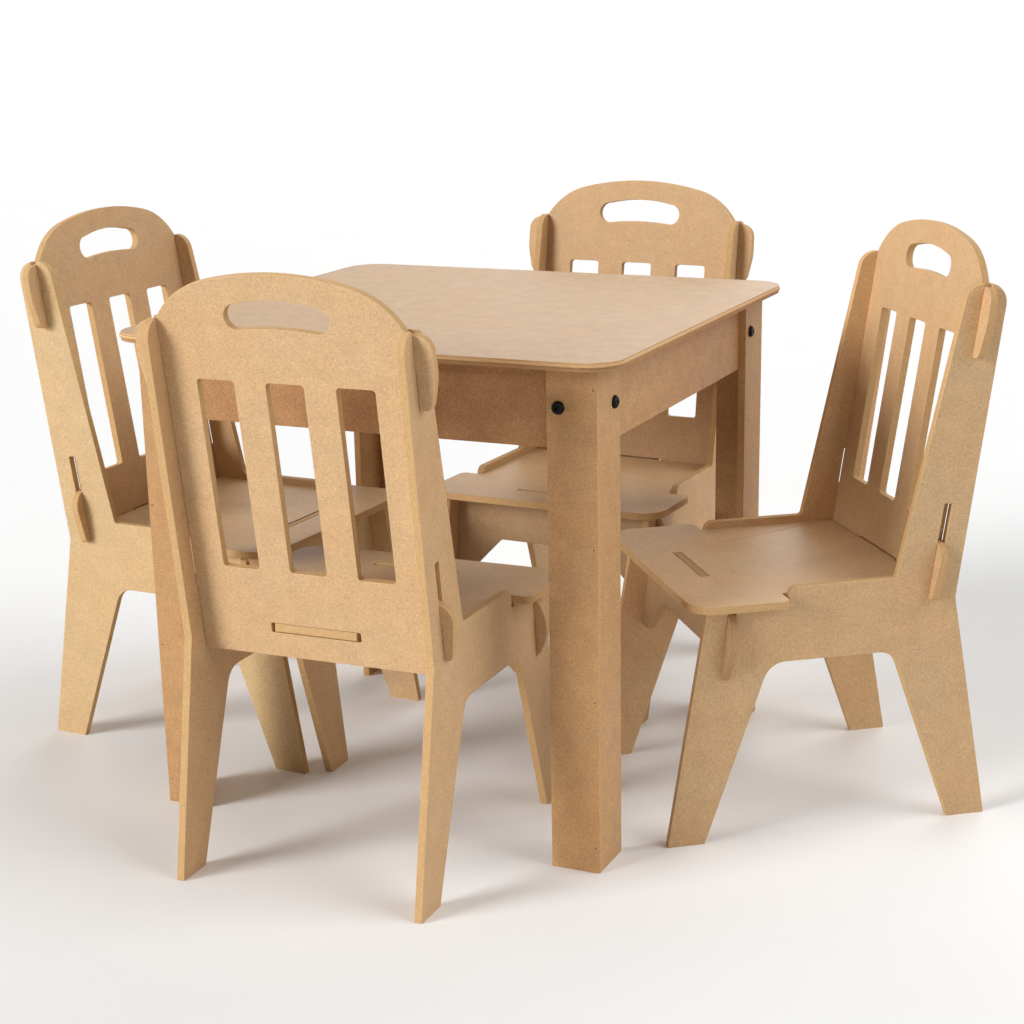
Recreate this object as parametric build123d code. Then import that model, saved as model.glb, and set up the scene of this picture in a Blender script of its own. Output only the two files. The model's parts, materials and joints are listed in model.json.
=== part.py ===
# Children's table with four slot-together chairs, cut from 9 mm fibreboard.
# Millimetres. +Z is up, Z = 0 is the floor, and the origin is the centre of the set's footprint.
# The table stands square to the X and Y axes, with one chair at each of its four sides.
# A chair is drawn once in its own frame: X across, to the sitter's right, Y forward, Z up.
import os
from math import cos, radians, sin, sqrt, tan

from build123d import *

# ---------------------------------------------------------------- driving dimensions
BOARD = 9.0                  # thickness of every board
FIT = 0.3                    # clearance between boards that slot together

# table
TOP_SIZE = 604.0             # side of the square top, over its nosing
TABLE_HEIGHT = 565.0
TOP_CORNER_R = 42.0
FRAME_HALF = 276.5           # table centre to the outer face of a leg
LEG_BOARD_WIDTH = 56.0
APRON_HEIGHT = 88.0
NOSING_SETBACK = 1.6         # how far the top face and the lower band stand back from the nosing
NOSING_TOP = 7.6             # height of the nosing's upper edge above the top's underside
NOSING_BOTTOM = 3.6
NOSING_R = 1.3

# bolts, nuts, leg brads, corner blocks and screws
BOLT_FROM_CORNER = (42.8, 48.0)   # on a leg's front or back board, and on its side board
BOLT_HEAD_R = 7.0
BOLT_HEAD_HEIGHT = 4.2
BOLT_R = 3.0
BOLT_LENGTH = 27.0
BOLT_HOLE_R = 3.2
SOCKET_R = 2.3
SOCKET_DEPTH = 2.4
NUT_R = 5.8
NUT_HEIGHT = 5.0
BRAD_R = 0.9
BRAD_LENGTH = 25.0
BRAD_SINK = 0.3
FIRST_BRAD_HEIGHT = 29.0
BRAD_SPACING = 168.0
BRADS_PER_LEG = 4
BLOCK_SIZE = 24.0
BLOCK_HEIGHT = 28.0
SCREW_R = 1.8
SCREW_HEAD_R = 3.6
SCREW_HEAD_HEIGHT = 2.4
SCREW_BITE = 6.0             # how far a screw goes up into the top

# chair: heights and widths
CHAIR_HALF_WIDTH = 148.3     # centre to the outer face of a side panel
SEAT_HEIGHT = 284.0          # top face of the seat
ARM_HEIGHT = 293.0           # top edge of a side panel beside the seat
POST_HEIGHT = 613.5
KINK_HEIGHT = 264.5
ARCH_HEIGHT = 207.5

# chair: side panel, distances along Y
BACK_FOOT = (-194.0, -148.5)
FRONT_FOOT = (145.0, 188.5)
KINK_Y = -146.5
POST_REAR_LEAN = 7.66        # degrees
POST_FRONT_LEAN = 12.6
POST_FRONT_Y = -74.5         # foot of the post's front edge, at ARM_HEIGHT
ARM_END_Y = 51.5
LEDGE_END_Y = 144.4
ARCH_CORNERS = (-73.6, 71.7)
RELIEF_WIDTH = 6.5           # cutter relief where the arm drops to the seat ledge
RELIEF_DEPTH = 4.0

# chair: backrest, in its own plane, with q up the slope from the reference point
BACK_LEAN = 8.35
BACK_REF_Y = -117.0          # front face of the backrest at BACK_REF_HEIGHT
BACK_REF_HEIGHT = 294.0
BACK_BOTTOM_Q = -47.5
ARCH_TOP_Q = 373.5
ARCH_R = 349.0
ARCH_SHOULDER_X = 85.0
ARCH_DIP = (138.8, 325.0)     # where the arch runs out, beside an ear
EAR_TIP_X = 168.6
EAR_WAIST_Q = 277.0          # below it an ear tapers to its foot
EAR_FOOT_X = 161.5
EAR_Q = (243.0, 321.0)
LAP_DROP = 39.0              # how far the backrest drops on to the side panels
HOOK_Q = (-28.5, 37.0)
HOOK_TIP_X = 165.5
HOOK_SLOT_TOP_Q = 80.5
SPLAT_SLOT = (43.4, 208.5)
SPLAT_SLOT_Q = 156.8         # middle of the three slots
SPLAT_PITCH = 80.0
HANDLE_HALF = 46.0
HANDLE_END_X = 59.5
HANDLE_TOP_Q = (342.0, 347.5)
HANDLE_BOTTOM_Q = (315.0, 318.0)
TAB_SLOT_HALF = 53.5
TAB_SLOT_Q = (-19.6, -8.4)

# chair: seat
SEAT_TAB_HALF = 49.0
SEAT_REAR_Y = -113.8
SEAT_STEP_Y = 56.0
SEAT_FRONT_Y = 167.0
SEAT_HALF_WIDTH = 169.0
SEAT_FRONT_R = 31.0
SEAT_STEP_R = 9.0
SEAT_SLOT_HALF = 53.0
SEAT_SLOT_Y = (109.6, 120.4)

# chair: front rail, in its own plane, with p up the slope from the seat's top face
RAIL_LEAN = 6.0
RAIL_REF_Y = 119.05          # front face of the rail at SEAT_HEIGHT
RAIL_TAB_HALF = 52.3
RAIL_EAR_P = (-91.5, -16.1)
RAIL_EAR_BULGE = 14.2
RAIL_LAP_P = -53.0
RAIL_BOTTOM_P = -114.6
RAIL_CUT_P = -68.9
RAIL_CUT_HALF = (76.0, 119.0)

# chairs as they stand: centre on the floor from the table's centre, and turn about Z
CHAIRS = {
    "chair_front": ((1.1, -267.5), 0.8),
    "chair_left": ((-349.8, 12.1), -92.1),
    "chair_back": ((15.9, 344.5), 177.2),
    "chair_right": ((380.8, 47.4), 127.6),
}

# ---------------------------------------------------------------- derived dimensions
TOP_UNDERSIDE = TABLE_HEIGHT - BOARD
BOLT_HEIGHT = TOP_UNDERSIDE - APRON_HEIGHT / 2 + 1.0
APRON_OUTER = FRAME_HALF - BOARD
APRON_INNER = APRON_OUTER - BOARD
PANEL_INNER = CHAIR_HALF_WIDTH - BOARD
SEAT_UNDERSIDE = SEAT_HEIGHT - BOARD
BACK_SIDE_X = PANEL_INNER - FIT
LAP_X = CHAIR_HALF_WIDTH + FIT
LAP_TOP_Q = EAR_Q[0] + LAP_DROP
HOOK_TOP_Q = HOOK_Q[0] + LAP_DROP
SIDES = (-1, 1)


# ---------------------------------------------------------------- helpers
def rounded_face(corners):
    """A closed outline from (x, y, radius) corners."""
    points = [(x, y) for x, y, _ in corners]
    radii = [r for _, _, r in corners]
    return make_face(FilletPolyline(*points, radius=radii, close=True).edges())


def rectangle(low, high):
    """A face from its low corner to its high corner."""
    centre = ((low[0] + high[0]) / 2, (low[1] + high[1]) / 2)
    return Pos(*centre) * Rectangle(high[0] - low[0], high[1] - low[1])


def block(low, high):
    """A box from its low corner to its high corner."""
    size = [b - a for a, b in zip(low, high)]
    return Pos(*low) * Box(*size, align=Align.MIN)


def leaning_plane(front_y, height, lean):
    """X across and Y up the slope of a board that leans back; its normal points to the rear."""
    angle = radians(lean)
    return Plane(origin=(0, front_y, height), x_dir=(1, 0, 0), z_dir=(0, -cos(angle), -sin(angle)))


BACK_PLANE = leaning_plane(BACK_REF_Y, BACK_REF_HEIGHT, BACK_LEAN)
RAIL_PLANE = leaning_plane(RAIL_REF_Y, SEAT_HEIGHT, RAIL_LEAN)


def through_panels(plane, low_q, high_q):
    """The slot that a leaning board needs in both side panels, between two heights."""
    reach = CHAIR_HALF_WIDTH + BOARD
    face = rectangle((-reach, low_q), (reach, high_q))
    return plane * Pos(0, 0, -FIT / 2) * extrude(face, BOARD + FIT)


# ---------------------------------------------------------------- table
def table_top():
    """Square top with rounded corners and a routed nosing: a band below, a bead and a quirk."""
    def slab(size, radius, low, high):
        return Pos(0, 0, low) * extrude(RectangleRounded(size, size, radius), high - low)

    inner_size = TOP_SIZE - 2 * NOSING_SETBACK
    inner_r = TOP_CORNER_R - NOSING_SETBACK
    bead = slab(TOP_SIZE, TOP_CORNER_R, NOSING_BOTTOM, NOSING_TOP)
    bead = fillet(bead.edges().group_by(Axis.Z)[-1], NOSING_R)
    top = slab(inner_size, inner_r, 0, BOARD) + bead
    return Pos(0, 0, TOP_UNDERSIDE) * top - top_screw_holes()


def leg_corners():
    """Signs of X and Y, and the name, of each leg."""
    for sy, depth in ((-1, "front"), (1, "back")):
        for sx, side in ((-1, "left"), (1, "right")):
            yield sx, sy, f"{depth}_{side}"


def facing_board(sx, sy):
    """The leg board that faces the front or the back, and covers the corner."""
    inner_x = FRAME_HALF - LEG_BOARD_WIDTH
    x = sorted((sx * inner_x, sx * FRAME_HALF))
    y = sorted((sy * APRON_OUTER, sy * FRAME_HALF))
    return block((x[0], y[0], 0), (x[1], y[1], TOP_UNDERSIDE))


def side_board(sx, sy):
    """The leg board that faces the side, and butts against the facing board."""
    inner_y = APRON_OUTER - LEG_BOARD_WIDTH
    x = sorted((sx * APRON_OUTER, sx * FRAME_HALF))
    y = sorted((sy * inner_y, sy * APRON_OUTER))
    return block((x[0], y[0], 0), (x[1], y[1], TOP_UNDERSIDE))


def apron_facing(sy):
    """The apron along the front or the back, from side to side."""
    y = sorted((sy * APRON_INNER, sy * APRON_OUTER))
    low = TOP_UNDERSIDE - APRON_HEIGHT
    return block((-APRON_OUTER, y[0], low), (APRON_OUTER, y[1], TOP_UNDERSIDE))


def apron_side(sx):
    """The apron along one side, between the front and back aprons."""
    x = sorted((sx * APRON_INNER, sx * APRON_OUTER))
    low = TOP_UNDERSIDE - APRON_HEIGHT
    return block((x[0], -APRON_INNER, low), (x[1], APRON_INNER, TOP_UNDERSIDE))


def bolt_frames():
    """A plane at each bolt: its origin on the leg's outer face, its normal pointing outwards."""
    for sx, sy, _ in leg_corners():
        along, across = (FRAME_HALF - d for d in BOLT_FROM_CORNER)
        yield Plane(origin=(sx * along, sy * FRAME_HALF, BOLT_HEIGHT), x_dir=(1, 0, 0), z_dir=(0, sy, 0))
        yield Plane(origin=(sx * FRAME_HALF, sy * across, BOLT_HEIGHT), x_dir=(0, 1, 0), z_dir=(sx, 0, 0))


def bolt():
    """Domed head with a hexagon socket, above Z = 0, and a plain shank below it."""
    head = extrude(Circle(BOLT_HEAD_R), BOLT_HEAD_HEIGHT)
    head = fillet(head.edges().group_by(Axis.Z)[-1], BOLT_HEAD_HEIGHT - 0.9)
    socket = Pos(0, 0, BOLT_HEAD_HEIGHT - SOCKET_DEPTH) * extrude(RegularPolygon(SOCKET_R, 6), SOCKET_DEPTH)
    shank = Pos(0, 0, -BOLT_LENGTH) * extrude(Circle(BOLT_R), BOLT_LENGTH)
    return head - socket + shank


def nut():
    """Hexagon nut against the apron's inner face."""
    ring = RegularPolygon(NUT_R, 6) - Circle(BOLT_R + FIT / 6)
    return Pos(0, 0, -2 * BOARD - NUT_HEIGHT) * extrude(ring, NUT_HEIGHT)


def bolt_holes():
    hole = Pos(0, 0, -BOLT_LENGTH) * extrude(Circle(BOLT_HOLE_R), BOLT_LENGTH + 1)
    return Compound([frame * hole for frame in bolt_frames()])


def brads(length=BRAD_LENGTH, sink=BRAD_SINK):
    """Brads through each facing board into the edge of the side board."""
    pins = []
    for sx, sy, _ in leg_corners():
        for i in range(BRADS_PER_LEG):
            height = FIRST_BRAD_HEIGHT + i * BRAD_SPACING
            start = (sx * (FRAME_HALF - BOARD / 2), sy * (FRAME_HALF - sink), height)
            plane = Plane(origin=start, x_dir=(1, 0, 0), z_dir=(0, -sy, 0))
            pins.append(plane * extrude(Circle(BRAD_R), length))
    return Compound(pins)


def screw_places():
    middle = APRON_INNER - BLOCK_SIZE / 2
    return [Pos(sx * middle, sy * middle, TOP_UNDERSIDE - BLOCK_HEIGHT) for sx, sy, _ in leg_corners()]


def top_screws():
    """Screws up through the corner blocks into the top."""
    shank = extrude(Circle(SCREW_R), BLOCK_HEIGHT + SCREW_BITE)
    head = Pos(0, 0, -SCREW_HEAD_HEIGHT) * extrude(Circle(SCREW_HEAD_R), SCREW_HEAD_HEIGHT)
    head = fillet(head.edges().group_by(Axis.Z)[0], SCREW_HEAD_HEIGHT / 2)
    return Compound([place * (shank + head) for place in screw_places()])


def top_screw_holes():
    hole = extrude(Circle(SCREW_R), BLOCK_HEIGHT + SCREW_BITE)
    return Compound([place * hole for place in screw_places()])


def corner_block(sx, sy):
    """Block glued into the corner of the aprons, under the top."""
    x = sorted((sx * (APRON_INNER - BLOCK_SIZE), sx * APRON_INNER))
    y = sorted((sy * (APRON_INNER - BLOCK_SIZE), sy * APRON_INNER))
    low = TOP_UNDERSIDE - BLOCK_HEIGHT
    return block((x[0], y[0], low), (x[1], y[1], TOP_UNDERSIDE)) - top_screw_holes()


def table_nodes():
    drilled = bolt_holes()
    brad_holes = brads(BRAD_LENGTH + BRAD_SINK, 0)
    nodes = {"table_top": table_top()}
    for sy, name in ((-1, "front"), (1, "back")):
        nodes[f"apron_{name}"] = apron_facing(sy) - drilled
    for sx, name in ((-1, "left"), (1, "right")):
        nodes[f"apron_{name}"] = apron_side(sx) - drilled
    for sx, sy, name in leg_corners():
        nodes[f"leg_{name}_facing_board"] = facing_board(sx, sy) - drilled - brad_holes
        nodes[f"leg_{name}_side_board"] = side_board(sx, sy) - drilled - brad_holes
        nodes[f"corner_block_{name}"] = corner_block(sx, sy)
    nodes["leg_bolts"] = Compound([frame * bolt() for frame in bolt_frames()])
    nodes["bolt_nuts"] = Compound([frame * nut() for frame in bolt_frames()])
    nodes["leg_brads"] = brads()
    nodes["top_screws"] = top_screws()
    return nodes


# ---------------------------------------------------------------- chair
def side_panel(side):
    """Legs, arm and back post in one board; side is -1 for the sitter's left, 1 for the right."""
    rise = POST_HEIGHT - KINK_HEIGHT
    post_rear = KINK_Y - rise * tan(radians(POST_REAR_LEAN))
    post_front = POST_FRONT_Y - (POST_HEIGHT - ARM_HEIGHT) * tan(radians(POST_FRONT_LEAN))
    relief_end = ARM_END_Y + RELIEF_WIDTH
    relief_low = SEAT_UNDERSIDE - RELIEF_DEPTH
    outline = [
        (BACK_FOOT[0], 0, 1.5), (KINK_Y, KINK_HEIGHT, 12),
        (post_rear, POST_HEIGHT, 22), (post_front, POST_HEIGHT, 21),
        (POST_FRONT_Y, ARM_HEIGHT, 4), (ARM_END_Y, ARM_HEIGHT, 11),
        (ARM_END_Y, relief_low, 1.5), (relief_end, relief_low, 1.5), (relief_end, SEAT_UNDERSIDE, 0),
        (LEDGE_END_Y, SEAT_UNDERSIDE, 2), (FRONT_FOOT[1], 0, 1.5), (FRONT_FOOT[0], 0, 1.5),
        (ARCH_CORNERS[1], ARCH_HEIGHT, 26), (ARCH_CORNERS[0], ARCH_HEIGHT, 24), (BACK_FOOT[1], 0, 1.5),
    ]
    plane = Plane(origin=(min(side * PANEL_INNER, side * CHAIR_HALF_WIDTH), 0, 0), x_dir=(0, 1, 0), z_dir=(1, 0, 0))
    panel = plane * extrude(rounded_face(outline), BOARD)
    back_lap = through_panels(BACK_PLANE, LAP_TOP_Q, EAR_Q[1] + BOARD)
    hook_slot = through_panels(BACK_PLANE, HOOK_TOP_Q, HOOK_SLOT_TOP_Q)
    rail_lap = through_panels(RAIL_PLANE, RAIL_LAP_P, 0)
    return panel - back_lap - hook_slot - rail_lap


def backrest_outline():
    """Arched top, ears that lap over the side panels, and hooks that drop into their slots."""
    half_x = ARCH_SHOULDER_X / 2
    shoulder_q = ARCH_TOP_Q - ARCH_R + sqrt(ARCH_R**2 - ARCH_SHOULDER_X**2)
    half_q = ARCH_TOP_Q - ARCH_R + sqrt(ARCH_R**2 - half_x**2)
    shoulder = (ARCH_SHOULDER_X, shoulder_q)
    slope = (shoulder_q - ARCH_TOP_Q + ARCH_R, -ARCH_SHOULDER_X)
    crown = ThreePointArc((0, ARCH_TOP_Q), (half_x, half_q), shoulder)
    shoulder_arc = TangentArc(shoulder, ARCH_DIP, tangent=slope)
    corners = [
        (ARCH_DIP[0] + 4.4, EAR_Q[1] - 2, 7), (EAR_TIP_X - 1, EAR_Q[1], 17), (EAR_TIP_X, EAR_WAIST_Q, 60),
        (EAR_FOOT_X, EAR_Q[0], 9), (LAP_X, EAR_Q[0], 1), (LAP_X, LAP_TOP_Q, 0), (BACK_SIDE_X, LAP_TOP_Q, 0),
        (BACK_SIDE_X, HOOK_Q[1], 0), (HOOK_TIP_X, HOOK_Q[1], 23), (HOOK_TIP_X - 8, HOOK_Q[0], 6),
        (LAP_X, HOOK_Q[0], 0), (LAP_X, HOOK_TOP_Q, 0), (BACK_SIDE_X, HOOK_TOP_Q, 0),
        (BACK_SIDE_X, BACK_BOTTOM_Q, 1.5),
    ]
    points = [ARCH_DIP] + [(x, q) for x, q, _ in corners] + [(0, BACK_BOTTOM_Q)]
    lower = FilletPolyline(*points, radius=[r for _, _, r in corners])
    half = [*crown.edges(), *shoulder_arc.edges(), *lower.edges()]
    mirrored = [edge.mirror(Plane.YZ) for edge in half]
    return make_face(Wire(half + mirrored))


def handle_hole():
    """Hand hole: a gently arched slot with round ends."""
    arcs = [ThreePointArc((-HANDLE_HALF, q_end), (0, q_mid), (HANDLE_HALF, q_end))
            for q_end, q_mid in (HANDLE_TOP_Q, HANDLE_BOTTOM_Q)]
    middle = (HANDLE_TOP_Q[0] + HANDLE_BOTTOM_Q[0]) / 2
    ends = [ThreePointArc((side * HANDLE_HALF, HANDLE_BOTTOM_Q[0]), (side * HANDLE_END_X, middle),
                          (side * HANDLE_HALF, HANDLE_TOP_Q[0])) for side in SIDES]
    return make_face(Wire([edge for arc in arcs + ends for edge in arc.edges()]))


def backrest():
    face = backrest_outline() - handle_hole()
    for i in (-1, 0, 1):
        face -= Pos(i * SPLAT_PITCH, SPLAT_SLOT_Q) * RectangleRounded(*SPLAT_SLOT, 4)
    tab_width = 2 * TAB_SLOT_HALF
    tab_height = TAB_SLOT_Q[1] - TAB_SLOT_Q[0]
    face -= Pos(0, sum(TAB_SLOT_Q) / 2) * RectangleRounded(tab_width, tab_height, 2)
    return BACK_PLANE * extrude(face, BOARD)


def seat():
    """Narrow between the side panels, wide in front of them, with a tab into the backrest."""
    inner_x = PANEL_INNER - FIT
    rise = SEAT_HEIGHT - BACK_REF_HEIGHT
    tab_end = BACK_REF_Y - rise * tan(radians(BACK_LEAN)) - BOARD / cos(radians(BACK_LEAN))
    half = [
        (SEAT_TAB_HALF, tab_end, 1), (SEAT_TAB_HALF, SEAT_REAR_Y, 0), (inner_x, SEAT_REAR_Y, 1),
        (inner_x, SEAT_STEP_Y, 2), (SEAT_HALF_WIDTH, SEAT_STEP_Y, SEAT_STEP_R),
        (SEAT_HALF_WIDTH, SEAT_FRONT_Y, SEAT_FRONT_R),
    ]
    face = rounded_face(half + [(-x, y, r) for x, y, r in reversed(half)])
    slot_height = SEAT_SLOT_Y[1] - SEAT_SLOT_Y[0]
    face -= Pos(0, sum(SEAT_SLOT_Y) / 2) * Rectangle(2 * SEAT_SLOT_HALF, slot_height)
    return Pos(0, 0, SEAT_UNDERSIDE) * extrude(face, BOARD)


def front_rail():
    """Board under the seat: a tab up into the seat, ears over the side panels, a cut-out below."""
    top = -BOARD / cos(radians(RAIL_LEAN))
    inner_x = PANEL_INNER - FIT
    half = [
        (RAIL_TAB_HALF, 0, 1), (RAIL_TAB_HALF, top, 0), (inner_x, top, 1),
        (inner_x, RAIL_BOTTOM_P, 3), (RAIL_CUT_HALF[1], RAIL_BOTTOM_P, 5), (RAIL_CUT_HALF[0], RAIL_CUT_P, 12),
    ]
    face = rounded_face(half + [(-x, p, r) for x, p, r in reversed(half)])
    middle = sum(RAIL_EAR_P) / 2
    for side in SIDES:
        tips = [(side * LAP_X, p) for p in RAIL_EAR_P]
        bulge = ThreePointArc(tips[0], (side * (LAP_X + RAIL_EAR_BULGE), middle), tips[1])
        face += make_face(Wire([*bulge.edges(), *Line(*tips).edges()]))
        x = sorted((side * (inner_x - 1), side * LAP_X))
        face += rectangle((x[0], RAIL_LAP_P), (x[1], RAIL_EAR_P[1]))
    return RAIL_PLANE * extrude(face, BOARD)


def chair_nodes():
    return {
        "seat": seat(),
        "backrest": backrest(),
        "front_rail": front_rail(),
        "side_panel_left": side_panel(-1),
        "side_panel_right": side_panel(1),
    }


# ---------------------------------------------------------------- the set
def set_nodes():
    """All nodes about the table's centre, then moved so that the footprint's centre is the origin."""
    nodes = table_nodes()
    chair = chair_nodes()
    for chair_name, ((x, y), turn) in CHAIRS.items():
        place = Location((x, y, 0), (0, 0, turn))
        for part_name, shape in chair.items():
            nodes[f"{chair_name}_{part_name}"] = place * shape
    box = Compound([solid for shape in nodes.values() for solid in shape.solids()]).bounding_box()
    centring = Pos(-(box.min.X + box.max.X) / 2, -(box.min.Y + box.max.Y) / 2, 0)
    return {name: centring * shape for name, shape in nodes.items()}


os.makedirs("parts", exist_ok=True)
for node_name, node in set_nodes().items():
    export_step(node, f"parts/{node_name}.step")
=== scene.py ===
import json
from math import cos, radians, sin

import bmesh
import bpy
from mathutils import Matrix, Vector

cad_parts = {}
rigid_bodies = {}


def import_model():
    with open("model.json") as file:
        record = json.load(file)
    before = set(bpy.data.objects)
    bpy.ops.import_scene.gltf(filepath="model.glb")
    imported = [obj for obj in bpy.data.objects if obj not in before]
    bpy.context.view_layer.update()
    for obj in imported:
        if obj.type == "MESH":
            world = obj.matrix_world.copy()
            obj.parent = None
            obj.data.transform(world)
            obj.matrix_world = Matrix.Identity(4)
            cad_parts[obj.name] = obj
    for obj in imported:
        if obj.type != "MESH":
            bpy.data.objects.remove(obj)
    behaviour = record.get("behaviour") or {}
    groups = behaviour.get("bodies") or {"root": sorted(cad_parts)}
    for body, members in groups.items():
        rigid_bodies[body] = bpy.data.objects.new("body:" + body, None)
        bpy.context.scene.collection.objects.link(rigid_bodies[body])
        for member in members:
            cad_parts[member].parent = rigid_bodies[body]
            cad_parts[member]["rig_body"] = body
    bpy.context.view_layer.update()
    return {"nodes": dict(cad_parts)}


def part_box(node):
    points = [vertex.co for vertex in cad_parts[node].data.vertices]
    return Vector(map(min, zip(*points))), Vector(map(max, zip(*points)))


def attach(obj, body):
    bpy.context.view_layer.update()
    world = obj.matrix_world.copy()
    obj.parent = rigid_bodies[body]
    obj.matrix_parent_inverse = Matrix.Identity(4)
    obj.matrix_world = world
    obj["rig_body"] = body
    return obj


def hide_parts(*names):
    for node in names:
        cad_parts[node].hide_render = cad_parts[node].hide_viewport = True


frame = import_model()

nodes = frame["nodes"]

# ---------------------------------------------------------------- stage and camera
MM = 0.001
FLOOR_SIZE = 60.0
FLOOR_TONES = (0.87, 0.87, 0.865), (0.9, 0.9, 0.895)

CAMERA_PLACE = Vector((1.0336, -2.1489, 0.9348))    # from the table's centre on the floor
CAMERA_YAW = 24.405
CAMERA_PITCH = -16.784
CAMERA_ROLL = -1.029
CAMERA_LENS = 71.15
CAMERA_SENSOR = 36.0
CAMERA_SHIFT = (-0.0050, 0.0746)

BACKGROUND = 1.5
# each lamp: degrees round from the front to the right, degrees above the floor, strength, and
# softness as the angle it fills
LAMPS = {
    "key": (-40, 19, 3.3, 27),
    "back": (180, 28, 1.1, 50),
    "side": (98, 38, 1.65, 50),
    "overhead": (0, 85, 0.6, 60),
}

# ---------------------------------------------------------------- board colours
CHAIR_FACE = (0.575, 0.382, 0.203)
CHAIR_EDGE = (0.56, 0.345, 0.155)
TABLE_FACE = (0.465, 0.27, 0.118)
TABLE_EDGE = (0.51, 0.3, 0.135)
TOP_FACE = (0.358, 0.217, 0.094)
SPECK_COLOUR = (0.12, 0.07, 0.035, 1)
# per-board colour factors, some painted shade or painted light, the others only paler: the first name
# that a board's name starts with counts
TONES_AND_PAINTED_LIGHT = {
    # painted shade: the front rails, darkened for the shade beneath the seats
    "chair_back_front_rail": (0.72, 0.7, 0.69),
    "chair_right_front_rail": (0.77, 0.75, 0.74),
    # painted shade: the far chair and the right-hand chair's backrest, darker for the dimmer light
    # away from the lamps, with a slight tint
    "chair_back": (0.93, 0.91, 0.88),
    "chair_right_backrest": (0.94, 0.92, 0.91),
    "chair_right_side_panel_right": (1.12, 1.1, 1.08),
    "chair_left_side_panel_right": (1.02, 1.08, 1.07),
    # painted shade: the front apron, darkened for the shadow of the front chair and the top's
    # overhang
    "apron_front": (0.86, 0.78, 0.75),
    # painted light: the table's right apron and the front right leg's side board, paler for the light
    # from the near right, with a bluer tint
    "apron_right": (1.07, 1.08, 1.16),
    "leg_front_right_side": (1.1, 1.12, 1.22),
    "leg_front_right_facing": (1.07, 1.06, 1.09),
}
PLAIN = (1.0, 1.0, 1.0)

# contrast of the grain, and shine, on chairs, on the table's frame and on its top
CHAIR_GRAIN, FRAME_GRAIN, TOP_GRAIN = 1.0, 1.5, 2.0
BOARD_SHINE, TOP_SHINE = 0.22, 0.38

# ---------------------------------------------------------------- board surface, per mm
ARRIS = 0.6 * MM             # width of the sanded corners
ARRIS_SMOOTH_ANGLE = 32
ARRIS_EDGE_ANGLE = 40
SPECKLE_SCALE, FLECK_SCALE, CLOUD_SCALE, BLOTCH_SCALE = 0.8, 0.3, 0.045, 0.011
STRAND_TURNS = (12, 72, 131)     # degrees across the face
STRAND_LENGTH, STRAND_WIDTH = 4.5, 0.7
BEND_SCALE, BEND = 0.08, 9.0
SPECK_SCALE = 0.085
CORE_SCALE = 1.1
LAYER_STRETCH, LAYERS = 0.12, 7.0
STRAND_STRENGTH = 0.6
SPECK_STRENGTH = 0.65
# strength of the painted highlight on the sanded corners
ARRIS_HIGHLIGHT_STRENGTH = 0.6
BUMP_HEIGHT = 0.12 * MM
BUMP_STRENGTH = 0.35
SEED_STEP = (0.31, 0.17, 0.23)   # moves the pattern from board to board


# ---------------------------------------------------------------- helpers
def table_centre():
    low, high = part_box("table_top")
    return Vector(((low.x + high.x) / 2, (low.y + high.y) / 2, 0))


def board_plane(obj):
    """A board's face normal, upward on a level board, and where its two faces lie along it."""
    areas = {}
    for face in obj.data.polygons:
        n = face.normal
        key = tuple(round(abs(c), 2) for c in n)
        total, normal = areas.get(key, (0, n.copy()))
        areas[key] = (total + face.area, normal)
    normal = max(areas.values(), key=lambda item: item[0])[1]
    normal = -normal if normal.z < -0.9 else normal
    along = [normal.dot(v.co) for v in obj.data.vertices]
    return normal, min(along), max(along)


def times(colour, factor):
    """A colour times one factor, or times one each for red, green and blue."""
    factors = factor if isinstance(factor, tuple) else (factor,) * 3
    return (*[c * k for c, k in zip(colour, factors)], 1)


# ---------------------------------------------------------------- node graphs
class Graph:
    """Short calls for adding linked shader nodes."""

    def __init__(self, tree):
        self.tree = tree

    def plug(self, socket, value):
        if isinstance(value, bpy.types.NodeSocket):
            self.tree.links.new(value, socket)
        else:
            socket.default_value = value

    def add(self, kind, inputs=(), out=0, **settings):
        node = self.tree.nodes.new(kind)
        for name, value in settings.items():
            setattr(node, name, value)
        for name, value in dict(inputs).items():
            self.plug(node.inputs[name], value)
        return node.outputs[out] if node.outputs else None

    def place(self):
        return self.add("ShaderNodeTexCoord", out=3)

    def math(self, operation, a, b=0.0, c=0.0):
        return self.add("ShaderNodeMath", {0: a, 1: b, 2: c}, operation=operation)

    def vector(self, operation, a, b=(0, 0, 0), out=0):
        return self.add("ShaderNodeVectorMath", {0: a, 1: b}, out, operation=operation)

    def dot(self, a, direction):
        return self.vector("DOT_PRODUCT", a, tuple(direction), out=1)

    def noise(self, vector, scale, detail=2.0, roughness=0.5):
        inputs = {"Vector": vector, "Scale": scale, "Detail": detail, "Roughness": roughness}
        return self.add("ShaderNodeTexNoise", inputs)

    def span(self, value, low, high, to_low=0.0, to_high=1.0):
        inputs = {"Value": value, "From Min": low, "From Max": high,
                  "To Min": to_low, "To Max": to_high}
        return self.add("ShaderNodeMapRange", inputs, clamp=True)

    def about_one(self, value, low, high, spread):
        return self.span(value, low, high, 1 - spread, 1 + spread)

    def scale(self, vector, factor):
        return self.add("ShaderNodeVectorMath", {0: vector, "Scale": factor}, operation="SCALE")

    def point(self, x, y, z):
        return self.add("ShaderNodeCombineXYZ", {0: x, 1: y, 2: z})

    def tint(self, colour, value):
        grey = self.add("ShaderNodeCombineColor", {0: value, 1: value, 2: value})
        return self.mix(1.0, colour, grey, "MULTIPLY")

    def mix(self, factor, a, b, blend="MIX"):
        node = self.tree.nodes.new("ShaderNodeMix")
        node.data_type, node.blend_type = "RGBA", blend
        for name, value in (("Factor", factor), ("A", a), ("B", b)):
            self.plug(next(s for s in node.inputs if s.name == name and s.enabled), value)
        return next(s for s in node.outputs if s.enabled)


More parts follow.
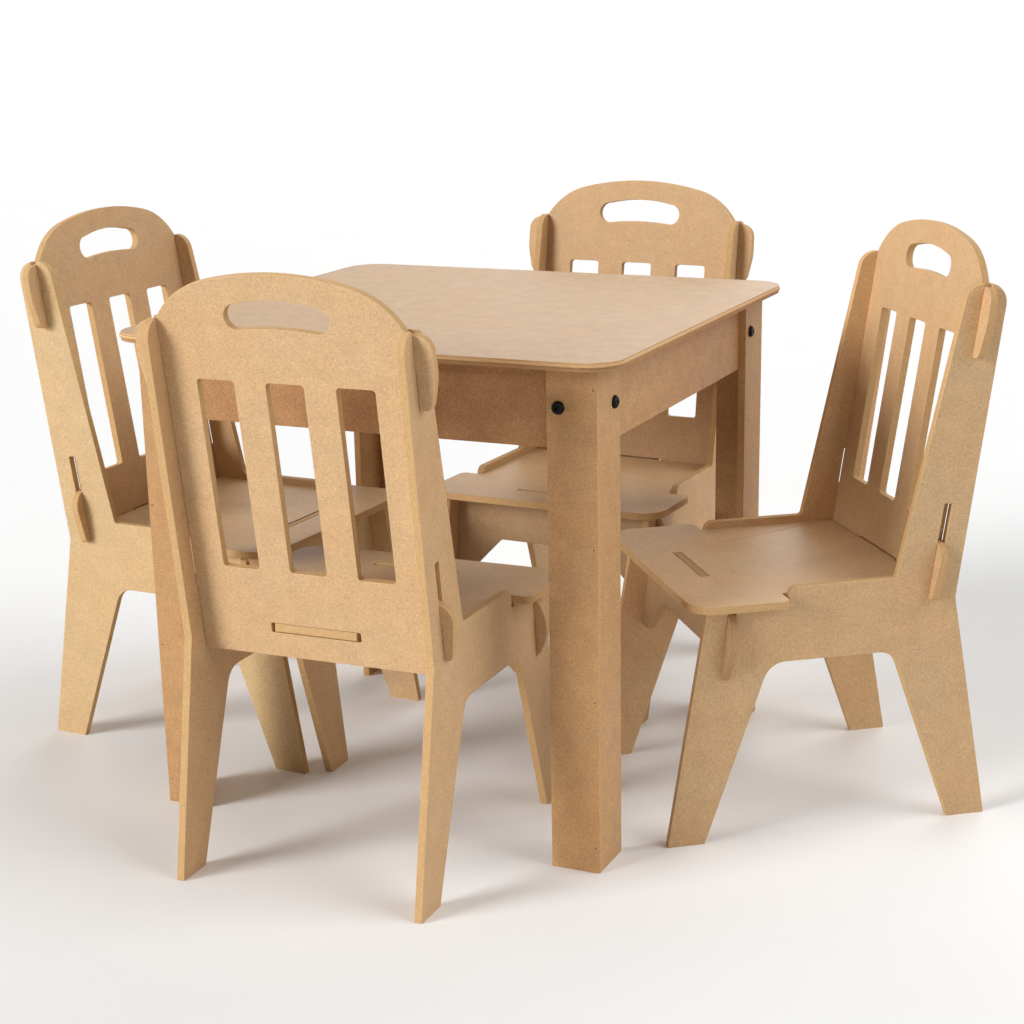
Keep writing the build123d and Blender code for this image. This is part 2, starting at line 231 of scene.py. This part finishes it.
def new_material(name):
    material = bpy.data.materials.new(name)
    material.use_nodes = True
    material.node_tree.nodes.clear()
    return material, Graph(material.node_tree)


def finish_material(graph, inputs):
    shader = graph.add("ShaderNodeBsdfPrincipled", inputs)
    graph.add("ShaderNodeOutputMaterial", {"Surface": shader})


# ---------------------------------------------------------------- fibreboard
def in_plane(normal):
    """Two directions across a board's face."""
    other = Vector((0, 0, 1)) if abs(normal.z) < 0.9 else Vector((0, 1, 0))
    across = normal.cross(other).normalized()
    return across, normal.cross(across)


def fibres(g, u, v, bend, turn):
    """Noise drawn out into strands along one direction of the face, from 0 to 1."""
    c, s = cos(radians(turn)), sin(radians(turn))
    along = g.math("MULTIPLY_ADD", u, c, g.math("MULTIPLY", v, s))
    aside = g.math("MULTIPLY_ADD", v, c, g.math("MULTIPLY", u, -s))
    aside = g.math("ADD", aside, bend)
    long_way = g.math("DIVIDE", along, STRAND_LENGTH)
    short_way = g.math("DIVIDE", aside, STRAND_WIDTH)
    return g.noise(g.point(long_way, short_way, turn), 1.0, 1.0)


def strand_masks(g, mm, u, v):
    """Where the pale and the dark strands lie."""
    bend = g.math("MULTIPLY", g.noise(mm, BEND_SCALE, 0.0), BEND)
    strands = [fibres(g, u, v, bend, turn) for turn in STRAND_TURNS]
    pale = g.math("MAXIMUM", g.math("MAXIMUM", strands[0], strands[1]), strands[2])
    dark = g.math("MINIMUM", g.math("MINIMUM", strands[0], strands[1]), strands[2])
    return g.span(pale, 0.66, 0.8), g.span(dark, 0.34, 0.2)


def speck_mask(g, mm):
    """A dark speck in about a third of the cells of a Voronoi pattern."""
    inputs = {"Vector": mm, "Scale": SPECK_SCALE}
    cell = g.add("ShaderNodeTexVoronoi", inputs, "Color")
    near = g.span(cell.node.outputs["Distance"], 0.07, 0.03)
    chosen = g.span(g.add("ShaderNodeSeparateColor", {0: cell}), 0.62, 0.66)
    return g.math("MULTIPLY", near, chosen)


def sanded_face(g, colour, grain, speckle, fleck, cloud, blotch, pale, dark, speck):
    """Dust-fine speckle, short strands in all directions and soft cloudy patches."""
    warmer = times(colour, (1.03, 0.97, 0.93))
    face = g.mix(g.span(blotch, 0.35, 0.65), times(colour, 1), warmer)
    face = g.mix(g.math("MULTIPLY", pale, STRAND_STRENGTH), face, times(colour, 1.4))
    dark_fibre = times(colour, (0.66, 0.58, 0.5))
    face = g.mix(g.math("MULTIPLY", dark, STRAND_STRENGTH), face, dark_fibre)
    face = g.mix(g.math("MULTIPLY", speck, SPECK_STRENGTH), face, SPECK_COLOUR)
    fine = g.about_one(speckle, 0.25, 0.75, 0.27 * grain)
    mottle = g.math("MULTIPLY", fine, g.about_one(fleck, 0.25, 0.75, 0.07 * grain))
    mottle = g.math("MULTIPLY", mottle, g.about_one(cloud, 0.3, 0.7, 0.05 * grain))
    return g.tint(face, mottle)


def cut_edge(g, colour, depth, core, layers, skin, nosing):
    """Closed skins, a woolly core and faint layers along the board, with painted light and shade in
    bands on the nosing.
    """
    edge = g.mix(skin, times(colour, 1), times(colour, 0.88))
    if nosing:    # painted light on the nosing: a lit upper half, a darker browner lower half painted as shade, and a painted shadow line between them
        # painted shadow line under the step of the nosing
        shadow_line_mask = g.math("MULTIPLY", g.span(depth, 0.36, 0.44), g.span(depth, 0.56, 0.48))
        shaded_lower, lit_upper = times(colour, (0.8, 0.74, 0.68)), times(colour, 1.25)
        edge = g.mix(g.span(depth, 0.4, 0.5), shaded_lower, lit_upper)
        shadow_line_colour = times(colour, (0.52, 0.44, 0.36))
        edge = g.mix(g.math("MULTIPLY", shadow_line_mask, 0.8), edge, shadow_line_colour)
    woolly = g.about_one(core, 0.25, 0.75, 0.28)
    return g.tint(edge, g.math("MULTIPLY", woolly, g.about_one(layers, 0.3, 0.7, 0.07)))


def fibreboard(name, plane, face_colour, edge_colour, seed, grain, shine=BOARD_SHINE, nosing=False):
    material, g = new_material(name)
    normal, low, high = plane
    place = g.place()
    shift = tuple(seed * step for step in SEED_STEP)
    mm = g.scale(g.vector("ADD", place, shift), 1 / MM)
    across, along = in_plane(normal)
    u, v = g.dot(mm, across), g.dot(mm, along)
    depth = g.span(g.dot(place, normal), low, high)
    shading_normal = g.add("ShaderNodeNewGeometry", out=1)
    facing = g.math("ABSOLUTE", g.dot(shading_normal, normal))
    cut = g.span(facing, 0.55, 0.35)
    # the sanded corners' rounded shading normals: mask of a painted highlight
    arris = g.math("MULTIPLY", g.span(facing, 0.97, 0.9), g.span(facing, 0.15, 0.3))

    speckle = g.noise(mm, SPECKLE_SCALE, 2.0, 0.7)
    fleck = g.noise(mm, FLECK_SCALE, 2.0, 0.6)
    cloud = g.noise(mm, CLOUD_SCALE, 3.0, 0.6)
    blotch = g.noise(mm, BLOTCH_SCALE, 2.0, 0.5)
    pale, dark = strand_masks(g, mm, u, v)
    speck = speck_mask(g, mm)

    from_middle = g.math("ABSOLUTE", g.math("SUBTRACT", depth, 0.5))
    skin = g.span(from_middle, 0.32, 0.5)
    drawn_out = [g.math("MULTIPLY", u, LAYER_STRETCH), g.math("MULTIPLY", v, LAYER_STRETCH)]
    layers = g.noise(g.point(*drawn_out, g.math("MULTIPLY", depth, LAYERS)), 1.0, 2.0)
    core = g.noise(mm, CORE_SCALE, 2.0, 0.7)

    face = sanded_face(g, face_colour, grain, speckle, fleck, cloud, blotch, pale, dark, speck)
    edge = cut_edge(g, edge_colour, depth, core, layers, skin, nosing)
    colour = g.mix(cut, face, edge)
    # painted highlight: the sanded corners painted 1.3 times paler than the face, or than the
    # nosing's edge
    arris_highlight = times(edge_colour if nosing else face_colour, 1.3)
    colour = g.mix(g.math("MULTIPLY", arris, ARRIS_HIGHLIGHT_STRENGTH), colour, arris_highlight)

    height = g.math("ADD", g.math("MULTIPLY", speckle, 0.6), g.math("MULTIPLY", pale, 0.5))
    rough_cut = g.math("MULTIPLY", g.math("SUBTRACT", core, 0.5), cut)
    height = g.math("ADD", height, g.math("MULTIPLY", rough_cut, 1.4))
    relief = {"Height": height, "Strength": BUMP_STRENGTH, "Distance": BUMP_HEIGHT}
    bump = g.add("ShaderNodeBump", relief)
    rough = g.math("ADD", g.span(fleck, 0.3, 0.7, 0.46, 0.56), g.math("MULTIPLY", cut, 0.22))
    surface = {"Base Color": colour, "Roughness": rough, "Normal": bump}
    finish_material(g, {**surface, "Specular IOR Level": shine})
    return material


def is_board(name):
    return name.startswith(("chair_", "table_top", "apron_", "leg_front_", "leg_back_"))


def softened(name, obj):
    """A board with its sawn corners sanded round, in place of the CAD board."""
    shape = bmesh.new()
    shape.from_mesh(obj.data)
    bmesh.ops.remove_doubles(shape, verts=shape.verts, dist=0.002 * MM)
    flat = {"angle_limit": radians(0.3), "verts": shape.verts, "edges": shape.edges}
    bmesh.ops.dissolve_limit(shape, **flat)
    mesh = bpy.data.meshes.new(name + "_sanded")
    shape.to_mesh(mesh)
    shape.free()
    for extra in [a.name for a in mesh.attributes if a.name.startswith("custom_normal")]:
        mesh.attributes.remove(mesh.attributes[extra])
    mesh.polygons.foreach_set("use_smooth", [True] * len(mesh.polygons))
    mesh.set_sharp_from_angle(angle=radians(ARRIS_SMOOTH_ANGLE))
    piece = bpy.data.objects.new(name + "_sanded", mesh)
    bpy.context.scene.collection.objects.link(piece)
    bevel = piece.modifiers.new("arris", "BEVEL")
    bevel.width, bevel.segments = ARRIS, 2
    bevel.limit_method, bevel.angle_limit = "ANGLE", radians(ARRIS_EDGE_ANGLE)
    bevel.harden_normals, bevel.use_clamp_overlap = True, False
    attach(piece, obj["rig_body"])
    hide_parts(name)
    return piece


def board_material(name, obj, seed):
    label, plane = "board_" + name, board_plane(obj)
    if name == "table_top":
        return fibreboard(label, plane, TOP_FACE, TABLE_EDGE, seed, TOP_GRAIN, TOP_SHINE, True)
    # a board's colour factor, painted shade or painted light on some boards
    tone = next((v for k, v in TONES_AND_PAINTED_LIGHT.items() if name.startswith(k)), PLAIN)
    chair = name.startswith("chair_")
    pair = (CHAIR_FACE, CHAIR_EDGE) if chair else (TABLE_FACE, TABLE_EDGE)
    colours = [times(c, tone)[:3] for c in pair]
    return fibreboard(label, plane, *colours, seed, CHAIR_GRAIN if chair else FRAME_GRAIN)


def dress_boards():
    for seed, (name, obj) in enumerate(sorted(nodes.items())):
        if not is_board(name):
            continue
        material = board_material(name, obj, seed)
        obj.data.materials.clear()
        obj.data.materials.append(material)
        if name != "table_top":
            softened(name, obj).data.materials.append(material)


# ---------------------------------------------------------------- metal and corner blocks
def bolt_black():
    material, g = new_material("bolt_black")
    grain = g.noise(g.place(), 900.0, 3.0)
    mottle = g.span(grain, 0.3, 0.7, 0.004, 0.01)
    colour = g.add("ShaderNodeCombineColor", {0: mottle, 1: mottle, 2: mottle})
    rough = g.span(grain, 0.3, 0.7, 0.24, 0.36)
    finish_material(g, {"Base Color": colour, "Roughness": rough, "Specular IOR Level": 0.09})
    return material


def grained(name, grain_scale, detail, dark, light, rough, **more):
    """A plain material whose colour and roughness follow one fine noise."""
    material, g = new_material(name)
    grain = g.noise(g.place(), grain_scale, detail)
    colour = g.mix(grain, (*dark, 1), (*light, 1))
    inputs = {"Base Color": colour, "Roughness": g.span(grain, 0.3, 0.7, *rough), **more}
    finish_material(g, inputs)
    return material


def dress_fittings():
    black = bolt_black()
    brown_black, brown, shine = (0.045, 0.03, 0.02), (0.09, 0.065, 0.045), {"Specular IOR Level": 0.3}
    dull = grained("iron", 1500.0, 2.0, brown_black, brown, (0.5, 0.7), **shine)
    grey, pale_grey = (0.42, 0.41, 0.4), (0.62, 0.61, 0.6)
    zinc = grained("steel", 700.0, 3.0, grey, pale_grey, (0.3, 0.5), Metallic=1.0)
    wood = grained("batten", 260.0, 3.0, (0.5, 0.34, 0.17), (0.68, 0.5, 0.3), (0.55, 0.7))
    chosen = {"leg_bolts": black, "bolt_nuts": zinc, "leg_brads": dull, "top_screws": zinc}
    for name, obj in nodes.items():
        material = wood if name.startswith("corner_block") else chosen.get(name)
        if material:
            obj.data.materials.clear()
            obj.data.materials.append(material)


# ---------------------------------------------------------------- stage, light and camera
def floor():
    half = FLOOR_SIZE / 2
    corners = [(-half, -half, 0), (half, -half, 0), (half, half, 0), (-half, half, 0)]
    mesh = bpy.data.meshes.new("floor")
    mesh.from_pydata(corners, [], [(0, 1, 2, 3)])
    obj = bpy.data.objects.new("floor", mesh)
    bpy.context.scene.collection.objects.link(obj)
    material, g = new_material("floor_white")
    tone = g.noise(g.place(), 3.0, 4.0)
    colour = g.mix(tone, *((*c, 1) for c in FLOOR_TONES))
    finish_material(g, {"Base Color": colour, "Roughness": 0.85})
    mesh.materials.append(material)


def lamp(name, round_from_front, above, strength, softness):
    a, e = radians(round_from_front), radians(above)
    towards = Vector((sin(a) * cos(e), -cos(a) * cos(e), sin(e)))
    data = bpy.data.lights.new(name, "SUN")
    data.energy, data.angle = strength, radians(softness)
    obj = bpy.data.objects.new(name, data)
    obj.rotation_mode = "QUATERNION"
    obj.rotation_quaternion = (-towards).to_track_quat("-Z", "Y")
    bpy.context.scene.collection.objects.link(obj)


def lights():
    world = bpy.data.worlds.new("studio")
    world.use_nodes = True
    background = world.node_tree.nodes["Background"]
    background.inputs["Color"].default_value = (1, 1, 1, 1)
    background.inputs["Strength"].default_value = BACKGROUND
    world.cycles_visibility.diffuse = False
    bpy.context.scene.world = world
    for name, values in LAMPS.items():
        lamp(name, *values)


def camera():
    yaw, pitch, roll = (radians(a) for a in (CAMERA_YAW, CAMERA_PITCH, CAMERA_ROLL))
    forward = Vector((-sin(yaw) * cos(pitch), cos(yaw) * cos(pitch), sin(pitch)))
    level = Vector((cos(yaw), sin(yaw), 0))
    upright = level.cross(forward)
    right = cos(roll) * level + sin(roll) * upright
    up = cos(roll) * upright - sin(roll) * level
    data = bpy.data.cameras.new("camera")
    data.sensor_width, data.lens = CAMERA_SENSOR, CAMERA_LENS
    data.shift_x, data.shift_y = CAMERA_SHIFT
    obj = bpy.data.objects.new("camera", data)
    turn = Matrix((right, up, -forward)).transposed().to_4x4()
    obj.matrix_world = Matrix.Translation(table_centre() + CAMERA_PLACE) @ turn
    bpy.context.scene.collection.objects.link(obj)
    bpy.context.scene.camera = obj


bpy.context.scene.view_settings.view_transform = "Standard"
dress_boards()
dress_fittings()
floor()
lights()
camera()
